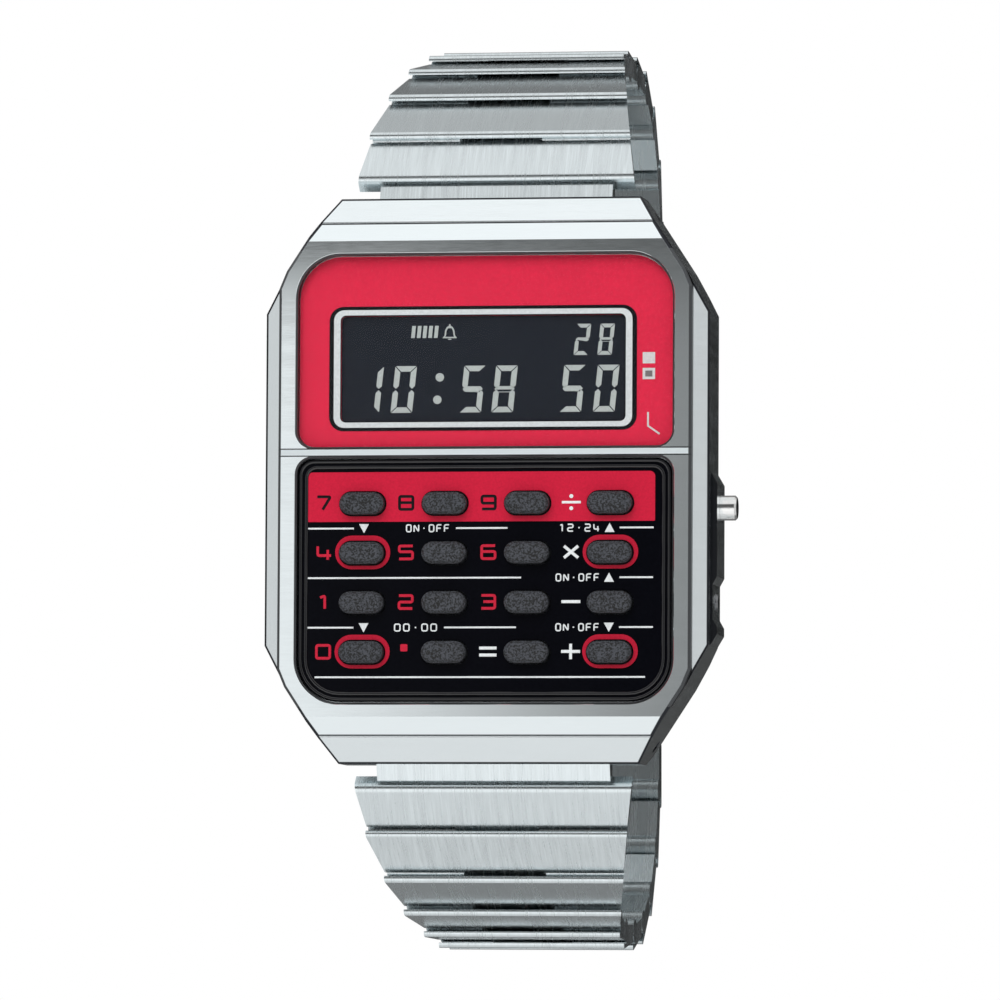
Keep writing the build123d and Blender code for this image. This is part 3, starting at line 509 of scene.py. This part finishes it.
def segment_polygons(x, z, width, height, bar, lit):
    """Polygons of the lit segments of a digit whose lower left corner is at x, z."""
    cut = bar * cut_share
    top, mid, low = z + height, z + height / 2, z
    right = x + width
    half = bar / 2

    def flat(level, drop):
        """A level bar with mitred ends: drop is 1 at the top, 0 in the middle, -1 below."""
        if drop == 0:
            return [
                (x + cut + half, level + half), (right - cut - half, level + half),
                (right - cut, level), (right - cut - half, level - half),
                (x + cut + half, level - half), (x + cut, level),
            ]
        return [
            (x + cut, level), (right - cut, level),
            (right - cut - bar, level - drop * bar), (x + cut + bar, level - drop * bar),
        ]

    def upright(edge, lean, base, head, at_base):
        """A vertical bar: lean is 1 on the left and -1 on the right."""
        inner = edge + lean * bar
        if at_base:
            return [
                (edge, base + cut), (inner, base + cut + bar), (inner, head - cut - half),
                (edge + lean * half, head - cut), (edge, head - cut - half),
            ]
        return [
            (edge, head - cut), (inner, head - cut - bar), (inner, base + cut + half),
            (edge + lean * half, base + cut), (edge, base + cut + half),
        ]

    shapes = {
        "a": flat(top, 1), "g": flat(mid, 0), "d": flat(low, -1),
        "f": upright(x, 1, mid, top, False), "b": upright(right, -1, mid, top, False),
        "e": upright(x, 1, low, mid, True), "c": upright(right, -1, low, mid, True),
    }
    return [[(px + (pz - z) * slant, pz) for px, pz in shapes[name]] for name in lit]


segments_of = {"0": "abcdef", "1": "bc", "2": "abged", "5": "afgcd", "8": "abcdefg"}
large, large_z = (1.66, 3.56, 0.42), lcd_z - 3.35
small, small_z = (1.1, 2.37, 0.29), lcd_z + 0.97
shown = [
    ("1", -9.93, large_z, large), ("0", -7.38, large_z, large), ("5", -2.07, large_z, large),
    ("8", 0.38, large_z, large), ("5", 5.61, large_z, large), ("0", 8.18, large_z, large),
    ("2", 6.68, small_z, small), ("8", 8.5, small_z, small),
]
lit_loops = []
for digit, x, z, (width, height, bar) in shown:
    lit_loops += segment_polygons(x, z, width, height, bar, segments_of[digit])
colon_x, colon_rises, colon_dot = -3.87, (0.98, 2.69), (0.64, 0.64, 0.31)
for rise in colon_rises:
    lit_loops.append(rounded_rectangle(colon_x + rise * slant, large_z + rise, *colon_dot))
tick_x, tick_z = -5.82, lcd_z + 2.35
tick_count, tick_pitch, tick_width, tick_height, tick_lean = 5, 0.44, 0.28, 0.92, 0.09
for number in range(tick_count):
    x, top_x = tick_x + number * tick_pitch, tick_x + number * tick_pitch + tick_lean
    top_z = tick_z + tick_height
    lit_loops.append(
        [(x, tick_z), (x + tick_width, tick_z), (top_x + tick_width, top_z), (top_x, top_z)]
    )
bell_x, bell_z = -2.84, lcd_z + 2.2
bell = [
    (-0.56, 0.12), (0.56, 0.12), (0.4, 0.34), (0.36, 0.72), (0.22, 0.98), (0.06, 1.06),
    (0.06, 1.18), (-0.06, 1.18), (-0.06, 1.06), (-0.22, 0.98), (-0.36, 0.72), (-0.4, 0.34),
]
bell_inner = [
    (-0.34, 0.22), (0.34, 0.22), (0.28, 0.4), (0.25, 0.68), (0.14, 0.88), (-0.14, 0.88),
    (-0.25, 0.68), (-0.28, 0.4),
]
bell_clapper = [(-0.14, 0), (0.14, 0), (0.1, 0.08), (-0.1, 0.08)]
for outline in (bell, bell_inner, bell_clapper):
    lit_loops.append([(bell_x + x, bell_z + z) for x, z in outline])
plate("display_digits", lit_loops, cell_top, cell_top + ink, cell_segment)

# Glass: flat mineral glass with a polished edge, cemented over the mask. It is coated, so it
# adds only a faint shade and a weak gloss.
haze_per_m, least_shade, most_shade = 300, 0.05, 0.08
glass, glass_tree, glass_shader = new_material("window_glass")
haze = speckle(glass_tree, object_place(glass_tree), haze_per_m)
glass_inputs = {
    "Base Color": (0.02, 0.02, 0.022, 1),
    "Roughness": 0.03,
    "Alpha": ranged(glass_tree, haze, 0, 1, least_shade, most_shade),
}
feed(glass_tree, glass_shader, glass_inputs)
finish_nodes(glass, "display_glass")

# Keypad: a gloss black panel with the keys' names printed on it, a red band round the top row
# and a raised red ring round four of the keys. Each key is textured rubber, and rises through a
# hole of its own.
panel_dark, panel_full = (0.0006, 0.0007, 0.0018), (0.002, 0.0022, 0.004)
panel_roughness, mottle_per_m = 0.12, 5000


def gloss_black(name, sheen):
    """Glossy black plastic with the faintest mottle."""
    material, tree, body = new_material(name)
    mottle = speckle(tree, object_place(tree), mottle_per_m)
    colour = tone_ramp(tree, mottle, panel_dark, panel_full, 0.5)
    inputs = {"Base Color": colour, "Roughness": panel_roughness, "Specular IOR Level": sheen}
    feed(tree, body, inputs)
    return material


panel_black = gloss_black("panel_black", 0.05)
finish_nodes(panel_black, "keypad_panel")
panel_top = -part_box("keypad_panel")[0].y / MM
key_rubber = moulded("key_rubber", (0.044, 0.048, 0.058), 0.55, 8200, 60e-6, 0.02, 0.08)
key_rows = [
    ["key_7", "key_8", "key_9", "key_divide"],
    ["key_4", "key_5", "key_6", "key_multiply"],
    ["key_1", "key_2", "key_3", "key_minus"],
    ["key_0", "key_decimal", "key_equals", "key_plus"],
]
for row in key_rows:
    finish_nodes(key_rubber, *row)
xs = [face_of(node)[0] for node in key_rows[0]]
zs = [face_of(row[0])[1] for row in key_rows]
key_hole = (3.66, 1.92, 0.95)
band_ink = print_ink("band_ink", (0.5, 0.008, 0.035), 0.4, matt)
band_x, band_z = (xs[0] + xs[3]) / 2 - 0.42, zs[0] + 0.51
band_size = (26.67, 3.78, 0.4, 0.08)
band_loops = [rounded_rectangle(band_x, band_z, *band_size)]
band_loops += [rounded_rectangle(x, zs[0], *key_hole) for x in xs]
plate("keypad_red_band", band_loops, panel_top, panel_top + ink, band_ink)
ring_ink = print_ink("ring_ink", (0.42, 0.006, 0.028), 0.4, matt)
ring_size, ring_rise = (4.24, 2.56, 1.27), 0.12
ring_right, ring_up = 0.03, 0.06
for node in ("key_4", "key_multiply", "key_0", "key_plus"):
    x, z = face_of(node)[:2]
    ring_outer = rounded_rectangle(x + ring_right, z + ring_up, *ring_size)
    ring_loops = [ring_outer, rounded_rectangle(x, z, *key_hole)]
    plate(f"ring_{node}", ring_loops, panel_top, panel_top + ring_rise, ring_ink)

# The keys' names: figures and signs drawn with strokes of one width, as on a printing plate.
# They are black on the red band, red on the black panel, and white for the signs.
stroke_sides = 8


def print_tree():
    """Geometry nodes that give a drawn line the width and thickness of a printed stroke."""
    tree = bpy.data.node_groups.new("Printed stroke", "GeometryNodeTree")
    labels = {
        "Line": "NodeSocketGeometry",
        "Half width": "NodeSocketFloat",
        "Thickness share": "NodeSocketFloat",
        "Ink": "NodeSocketMaterial",
    }
    for label, kind in labels.items():
        tree.interface.new_socket(label, in_out="INPUT", socket_type=kind)
    tree.interface.new_socket("Print", in_out="OUTPUT", socket_type="NodeSocketGeometry")
    given, result = tree.nodes.new("NodeGroupInput").outputs, tree.nodes.new("NodeGroupOutput")
    profile = {"Resolution": stroke_sides, "Radius": given["Half width"]}
    circle = add_node(tree, "GeometryNodeCurvePrimitiveCircle", profile)
    path = {"Curve": given["Line"], "Profile Curve": circle.outputs["Curve"], "Fill Caps": True}
    sweep = add_node(tree, "GeometryNodeCurveToMesh", path)
    scale = add_node(tree, "ShaderNodeCombineXYZ", {"X": 1, "Y": 1, "Z": given["Thickness share"]})
    pressed = {"Geometry": sweep.outputs["Mesh"], "Scale": scale.outputs["Vector"]}
    flat = add_node(tree, "GeometryNodeTransform", pressed).outputs["Geometry"]
    real = add_node(tree, "GeometryNodeRealizeInstances", {"Geometry": flat}).outputs["Geometry"]
    paint = {"Geometry": real, "Material": given["Ink"]}
    painted = add_node(tree, "GeometryNodeSetMaterial", paint)
    feed(tree, result, {"Print": painted.outputs["Geometry"]})
    return tree


printed_stroke = print_tree()


def rounded_line(points, radius, closed=False, steps=5):
    """A line whose corners are arcs of a given radius."""
    count = len(points)
    line = []
    for index, point in enumerate(points):
        if not closed and index in (0, count - 1):
            line.append(point)
            continue
        here = Vector(point)
        before = Vector(points[index - 1]) - here
        after = Vector(points[(index + 1) % count]) - here
        reach = min(radius, before.length / 2, after.length / 2)
        a, b = here + before.normalized() * reach, here + after.normalized() * reach
        for step in range(steps + 1):
            t = step / steps
            line.append(tuple((1 - t) ** 2 * a + 2 * t * (1 - t) * here + t ** 2 * b))
    return line


def printed(name, strokes, width, height, material, rise=ink):
    """One piece of printed strokes: each stroke is (points, closed) in millimetres."""
    drawn = flat_curve(name, strokes, "3D")
    modifier = drawn.modifiers.new("print", "NODES")
    modifier.node_group = printed_stroke
    sockets = {item.name: item.identifier for item in printed_stroke.interface.items_tree}
    modifier[sockets["Half width"]] = width / 2 * MM
    modifier[sockets["Thickness share"]] = rise / (width / 2)
    modifier[sockets["Ink"]] = material
    return case_piece(name, front_mesh(drawn, height))


glyph_share = {
    "0": [([(0, 0), (1, 0), (1, 1), (0, 1)], True)],
    "1": [([(0.25, 0.86), (0.6, 1), (0.6, 0)], False)],
    "2": [([(0, 1), (1, 1), (1, 0.5), (0, 0.5), (0, 0), (1, 0)], False)],
    "3": [([(0, 1), (1, 1), (1, 0), (0, 0)], False), ([(0.15, 0.52), (1, 0.52)], False)],
    "4": [([(0.05, 1), (0.05, 0.28), (1.05, 0.28)], False), ([(0.8, 0.72), (0.8, -0.04)], False)],
    "5": [([(1, 1), (0, 1), (0, 0.55), (1, 0.55), (1, 0), (0, 0)], False)],
    "6": [([(1, 1), (0, 1), (0, 0), (1, 0), (1, 0.55), (0, 0.55)], False)],
    "7": [([(0, 1), (0.98, 1), (0.4, 0)], False)],
    "8": [([(0, 0), (1, 0), (1, 1), (0, 1)], True), ([(0, 0.52), (1, 0.52)], False)],
    "9": [([(1, 0.45), (0, 0.45), (0, 1), (1, 1), (1, 0), (0.02, 0)], False)],
    "minus": [([(-0.1, 0.5), (1.1, 0.5)], False)],
    "plus": [([(-0.1, 0.5), (1.1, 0.5)], False), ([(0.5, -0.05), (0.5, 1.05)], False)],
    "multiply": [([(0.05, 0.08), (0.95, 0.92)], False), ([(0.05, 0.92), (0.95, 0.08)], False)],
    "divide": [([(-0.1, 0.5), (1.1, 0.5)], False)],
    "equals": [([(-0.05, 0.25), (1.05, 0.25)], False), ([(-0.05, 0.75), (1.05, 0.75)], False)],
    "O": [([(0, 0), (1, 0), (1, 1), (0, 1)], True)],
    "N": [([(0, 0), (0, 1), (1, 0), (1, 1)], False)],
    "F": [([(0, 0), (0, 1), (1, 1)], False), ([(0, 0.5), (0.85, 0.5)], False)],
}


def glyph(symbol, x, z, width, height, radius):
    """Strokes of a symbol in a box whose centre is at x, z."""
    strokes = []
    for shares, closed in glyph_share[symbol]:
        points = [(x + (px - 0.5) * width, z + (pz - 0.5) * height) for px, pz in shares]
        strokes.append((rounded_line(points, radius, closed), closed))
    return strokes


white_ink = print_ink("white_ink", (0.68, 0.71, 0.72), 0.45)
red_letter_ink = print_ink("red_letter_ink", (0.48, 0.012, 0.036), 0.4, matt)
name_left, name_up = 2.99, 0.05
figure_size, figure_stroke = (1.03, 0.98, 0.15), 0.22
sign_size, sign_stroke = (1.21, 1.06, 0.1), 0.24
figures_and_sign = [("789", "divide"), ("456", "multiply"), ("123", "minus"), ("0", "plus")]
dark_strokes, red_strokes, pale_strokes = [], [], []
for z, (figures, sign) in zip(zs, figures_and_sign):
    target = dark_strokes if z == zs[0] else red_strokes
    for x, symbol in zip(xs, figures):
        target += glyph(symbol, x - name_left, z + name_up, *figure_size)
    pale_strokes += glyph(sign, xs[3] - name_left, z + name_up, *sign_size)
pale_strokes += glyph("equals", xs[2] - name_left, zs[3] + name_up, *sign_size)
on_band = panel_top + ink
on_both = panel_top + ink / 2
printed("keypad_names_black", dark_strokes, figure_stroke, on_band, black_ink)
printed("keypad_names_red", red_strokes, figure_stroke, panel_top, red_letter_ink)
printed("keypad_operators", pale_strokes, sign_stroke, on_both, white_ink)
dot_size, dot_away = (0.3, 0.3, 0.149), 0.46
dots = [
    rounded_rectangle(xs[3] - name_left, zs[0] + name_up + side * dot_away, *dot_size)
    for side in (1, -1)
]
plate("keypad_divide_dots", dots, on_band, on_band + ink, white_ink)
point_size, point_left, point_up = (0.55, 0.55, 0.1), 0.12, 0.35
point = rounded_rectangle(xs[1] - name_left - point_left, zs[3] + point_up, *point_size)
plate("keypad_decimal_point", [point], panel_top, on_band, red_letter_ink)

# The panel's rim: two low beads along its edge, moulded with it in the same black plastic. They
# are glossier than the flat and catch the light.
bead_black = gloss_black("bead_black", 0.6)
bead_width, bead_rise = 0.34, 0.13
bead_insets = (0.19, 0.62)
panel_x, panel_z, panel_width, panel_height = face_of("keypad_panel")
beads = []
for inset in bead_insets:
    size = (panel_width - 2 * inset, panel_height - 2 * inset)
    rounds = (mask_round_at_bar - inset / 2, mask_round - inset)
    beads.append((rounded_rectangle(panel_x, panel_z, *size, *rounds), True))
printed("keypad_rim", beads, bead_width, panel_top, bead_black, bead_rise)

# The white lines between the rows, with triangles that point at the keys they belong to and
# short words between the lines, all printed on the panel in one white ink.
rule_width = 0.14
row_step = zs[0] - zs[1]
rule_zs = [z - row_step / 2 for z in zs]
rules = [
    (-13.59, -10.04, 0), (-2.18, 1.77, 0), (10.36, 12.95, 0),
    (-13.6, 2.83, 1), (10.36, 12.92, 1),
    (-13.59, -10.03, 2), (-3.06, 2.46, 2), (10.34, 12.92, 2),
    (-13.0, 12.34, 3),
]
rule_strokes = [([(left, rule_zs[r]), (right, rule_zs[r])], False) for left, right, r in rules]
printed("keypad_lines", rule_strokes, rule_width, panel_top, white_ink)
triangle_half, triangle_foot, triangle_tip = 0.38, 0.34, 0.36
triangles = []
for x, row, up in ((-9.26, 0, -1), (9.59, 0, 1), (9.56, 1, 1), (-9.25, 2, -1), (9.56, 2, -1)):
    foot_z = rule_zs[row] - up * triangle_foot
    tip = (x, rule_zs[row] + up * triangle_tip)
    triangles.append([(x - triangle_half, foot_z), (x + triangle_half, foot_z), tip])
plate("keypad_triangles", triangles, panel_top, on_band, white_ink)
word_stroke, word_height, word_round = 0.11, 0.52, 0.14
letter_share, stop_half = 0.6, 0.05
words = []
for text, left, right, row in (
    ("ON.OFF", -6.1, -2.6, 0), ("12.24", 5.6, 8.9, 0), ("ON.OFF", 5.4, 8.9, 1),
    ("00.00", -7.0, -3.5, 2), ("ON.OFF", 5.4, 8.9, 2),
):
    pitch = (right - left) / len(text)
    for index, symbol in enumerate(text):
        x, z = left + pitch * (index + 0.5), rule_zs[row]
        if symbol == ".":
            words.append(([(x - stop_half, z), (x + stop_half, z)], False))
        else:
            words += glyph(symbol, x, z, pitch * letter_share, word_height, word_round)
printed("keypad_words", words, word_stroke, panel_top, white_ink)

# Pushers: turned steel heads on the right side, held by clips inside the case. The upper one
# stands proud and bright, and the lower one lies in its recess. A coil of steel wire on each
# stem pushes it out.
stem_grain_per_m = (9000, 1500, 1500)
pusher_steel = brushed_steel(
    "pusher_steel", (0.8, 0.8, 0.79), stem_grain_per_m, 0.1, 0.18, 0.2e-6, 0.95
)
finish_nodes(pusher_steel, "mode_pusher")
# The lower pusher's steel is painted dark, standing in for the shade of its recess.
recess_shaded_steel = brushed_steel(
    "recess_shaded_steel", (0.2, 0.205, 0.215), stem_grain_per_m, 0.2, 0.3, 0.2e-6, 0.9
)
finish_nodes(recess_shaded_steel, "adjust_pusher")
wire_steel = brushed_steel(
    "wire_steel", (0.66, 0.66, 0.65), (9000, 3000, 3000), 0.25, 0.4, 0.3e-6
)
finish_nodes(wire_steel, "pusher_springs", "spring_bars")
wire_radius = 0.055 * MM
coil_radius = 0.515 * MM
near_play, far_play = 0.005 * MM, 0.01 * MM
coil_turns, turn_steps, wire_sides = 4, 18, 8
coil_steps = coil_turns * turn_steps
spring_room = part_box("pusher_springs")
coil_start = spring_room[0].x + wire_radius + near_play
coil_length = spring_room[1].x - wire_radius - far_play - coil_start
for pusher in ("mode_pusher", "adjust_pusher"):
    middle = (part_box(pusher)[0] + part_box(pusher)[1]) / 2
    points, faces = [], []
    for step in range(coil_steps + 1):
        turned = 2 * math.pi * step / turn_steps
        outward = Vector((0, math.cos(turned), math.sin(turned)))
        centre = Vector((coil_start + coil_length * step / coil_steps, middle.y, middle.z))
        for side in range(wire_sides):
            angle = 2 * math.pi * side / wire_sides
            around_wire = math.cos(angle) * outward + math.sin(angle) * Vector((1, 0, 0))
            points.append(centre + coil_radius * outward + wire_radius * around_wire)
    for step in range(coil_steps):
        for side in range(wire_sides):
            here, beyond = step * wire_sides, (step + 1) * wire_sides
            after = (side + 1) % wire_sides
            faces.append((here + side, here + after, beyond + after, beyond + side))
    faces.append(tuple(range(wire_sides))[::-1])
    faces.append(tuple(coil_steps * wire_sides + side for side in range(wire_sides)))
    coil_mesh = bpy.data.meshes.new(f"{pusher}_spring")
    coil_mesh.from_pydata(points, [], faces)
    coil_mesh.materials.append(wire_steel)
    coil = case_piece(f"{pusher}_spring", coil_mesh)
    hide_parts("pusher_springs")
    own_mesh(coil)

# Case back: a steel plate with a raised middle, brushed across the watch. It is held on its
# gasket by four countersunk screws.
back_steel = brushed_steel(
    "back_steel", (0.68, 0.68, 0.68), (900, 900, 9000), 0.22, 0.36, 0.5e-6, 0.85
)
finish_nodes(back_steel, "case_back", "case_back_screws")

# Strap: shingled links of folded steel sheet, brushed along the strap. Each link's barrels are
# pinned to the next, and the first link of each half hangs on a spring bar.
strap_links = 11
strap_steel = brushed_steel(
    "strap_steel", (0.71, 0.77, 0.79), (9000, 330, 330), 0.19, 0.3, 1.2e-6, 0.84
)
for half in ("upper", "lower"):
    for number in range(1, strap_links + 1):
        finish_nodes(strap_steel, f"{half}_link_{number}")

# Clasp: three pressed steel pieces that fold flat behind the wrist, on pins through their ears.
# They are brushed lengthwise like the strap.
clasp_steel = brushed_steel(
    "clasp_steel", (0.72, 0.725, 0.725), (8000, 300, 300), 0.22, 0.34, 1.0e-6, 0.85
)
finish_nodes(clasp_steel, "clasp_inner_blade", "clasp_outer_blade", "clasp_cover")

# Studio: a plain pale floor well below the watch and soft light all round. The steel mirrors a
# dark screen in front with a bright edge, a darker stretch behind and paler sides. The floor is
# darker towards the back only for what mirrors it.
floor_half, floor_drop = 3, 0.11
floor_near, floor_far = -0.4, 0.6
floor_tones = [(0.345, 0.82), (0.37, 0.86), (0.4, 0.73), (0.445, 0.85), (0.465, 0.24), (0.6, 0.24)]
floor_mesh = bpy.data.meshes.new("floor")
floor_shape = bmesh.new()
bmesh.ops.create_grid(floor_shape, x_segments=1, y_segments=1, size=floor_half)
floor_shape.to_mesh(floor_mesh)
floor_shape.free()
floor = bpy.data.objects.new("floor", floor_mesh)
floor.location = (0, 0, -floor_drop)
bpy.context.scene.collection.objects.link(floor)
floor_pale = print_ink("floor_pale", (0.9, 0.9, 0.9), 0.9, flake_per_m=5, contrast=0.99)
floor_mesh.materials.append(floor_pale)
floor_tree = floor_pale.node_tree
floor_place = add_node(floor_tree, "ShaderNodeSeparateXYZ", {0: object_place(floor_tree)})
backwards = ranged(floor_tree, floor_place.outputs["Y"], floor_near, floor_far, 0, 1)
floor_shade = add_node(floor_tree, "ShaderNodeValToRGB", {"Fac": backwards})
floor_stops = floor_shade.color_ramp.elements
floor_stops[0].position, floor_stops[0].color = 0.32, (1, 1, 1, 1)
floor_stops[1].position, floor_stops[1].color = 0.8, (0.03, 0.03, 0.03, 1)
for stop, tone in floor_tones:
    floor_stops.new(stop).color = (tone, tone, tone, 1)
mirrored = add_node(floor_tree, "ShaderNodeLightPath").outputs["Is Glossy Ray"]
floor_colour = mixed(
    floor_tree, mirrored, source_of(floor_pale, "Base Color"), floor_shade.outputs["Color"],
    "MULTIPLY",
)
feed(floor_tree, floor_tree.nodes["Principled BSDF"], {"Base Color": floor_colour})

softbox_light = bpy.data.lights.new("softbox", "AREA")
softbox_light.shape = "SQUARE"
softbox_light.size = 0.45
softbox_light.energy = 3.2
softbox = bpy.data.objects.new("softbox", softbox_light)
softbox.location = (-0.12, -0.5, 0.42)
softbox.rotation_mode = "QUATERNION"
softbox.rotation_quaternion = (-softbox.location).to_track_quat("-Z", "Y")
softbox.visible_glossy = False
bpy.context.scene.collection.objects.link(softbox)

world = bpy.data.worlds.new("studio")
bpy.context.scene.world = world
world.use_nodes = True
sky = world.node_tree
sky_place = add_node(sky, "ShaderNodeTexCoord").outputs["Generated"]
direction = add_node(sky, "ShaderNodeSeparateXYZ", {0: sky_place}).outputs


def softened(source, low, high, start, end):
    """A smooth step of one component of the direction, from one value to another."""
    return ranged(sky, source, low, high, start, end, "SMOOTHSTEP")


def product(*masks):
    """Masks of the sky multiplied, from the last to the first."""
    result = masks[-1]
    for mask in masks[-2::-1]:
        result = worked_out(sky, "MULTIPLY", mask, result)
    return result


def all_but(mask, full=1.0):
    """What a mask leaves of a full value."""
    return worked_out(sky, "SUBTRACT", full, mask)


# The light by direction. Behind the watch it falls off, the sides stay paler, and a patch straight
# behind is hidden. In front stands the dark screen, with a brighter edge on the left.
across, depth, height = direction["X"], direction["Y"], direction["Z"]
sideways, rise = worked_out(sky, "ABSOLUTE", across), worked_out(sky, "ABSOLUTE", height)
behind = softened(depth, 0.24, 0.72, 1.0, 0.2)
beside = softened(sideways, 0.3, 0.6, 0.0, 0.75)
hidden = product(
    softened(depth, 0.92, 0.97, 0.0, 0.95),
    softened(across, -0.12, -0.04, 0.0, 1.0),
    softened(rise, 0.22, 0.32, 1.0, 0.0),
)
flanks = product(softened(sideways, 0.32, 0.44, 0.0, 0.34), softened(rise, 0.3, 0.5, 1.0, 0.0))
around = product(worked_out(sky, "MAXIMUM", behind, beside), all_but(hidden))
around = product(around, all_but(flanks))
bright_edge = product(
    worked_out(sky, "ADD", 0.15, softened(across, -0.185, -0.132, 0.68, 0.0)),
    softened(height, -0.1, -0.02, 0.0, 1.0),
    softened(height, 0.0855, 0.0905, 1.0, 0.0),
)
screen = product(
    softened(depth, -0.85, -0.7, 1.0, 0.0),
    softened(sideways, 0.36, 0.44, 1.0, 0.0),
    softened(rise, 0.5, 0.62, 1.0, 0.0),
)
brightness = product(around, all_but(product(screen, all_but(bright_edge, 0.9))))
seen = add_node(sky, "ShaderNodeLightPath").outputs["Is Camera Ray"]
feed(sky, sky.nodes["Background"], {"Color": mixed(sky, seen, brightness, (1, 1, 1, 1))})

# Camera: a little to the right and below, far away with a long lens, so that there is little
# perspective. It is rolled a touch out of level, as in the photograph.
azimuth, elevation, roll = math.radians(8.92), math.radians(-3.56), math.radians(0.3)
distance = 0.63
aim_right, aim_down = 1.25 * MM, 1.68 * MM
level = math.cos(elevation)
toward = Vector((level * math.sin(azimuth), -level * math.cos(azimuth), math.sin(elevation)))
right = Vector((math.cos(azimuth), math.sin(azimuth), 0))
upward = toward.cross(right)
aim = Vector((0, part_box("bezel")[0].y, 0)) + right * aim_right - upward * aim_down
facing = (-toward).to_track_quat("-Z", "Y").to_matrix().to_4x4()
lens = bpy.data.cameras.new("camera")
lens.lens = 299.3
lens.sensor_width = 36
lens.clip_start = 0.05
lens.clip_end = 10
camera = bpy.data.objects.new("camera", lens)
camera.location = aim + toward * distance
camera.rotation_mode = "QUATERNION"
camera.rotation_quaternion = (Matrix.Rotation(roll, 4, toward) @ facing).to_quaternion()
bpy.context.scene.collection.objects.link(camera)
bpy.context.scene.camera = camera
bpy.context.scene.view_settings.view_transform = "Standard"
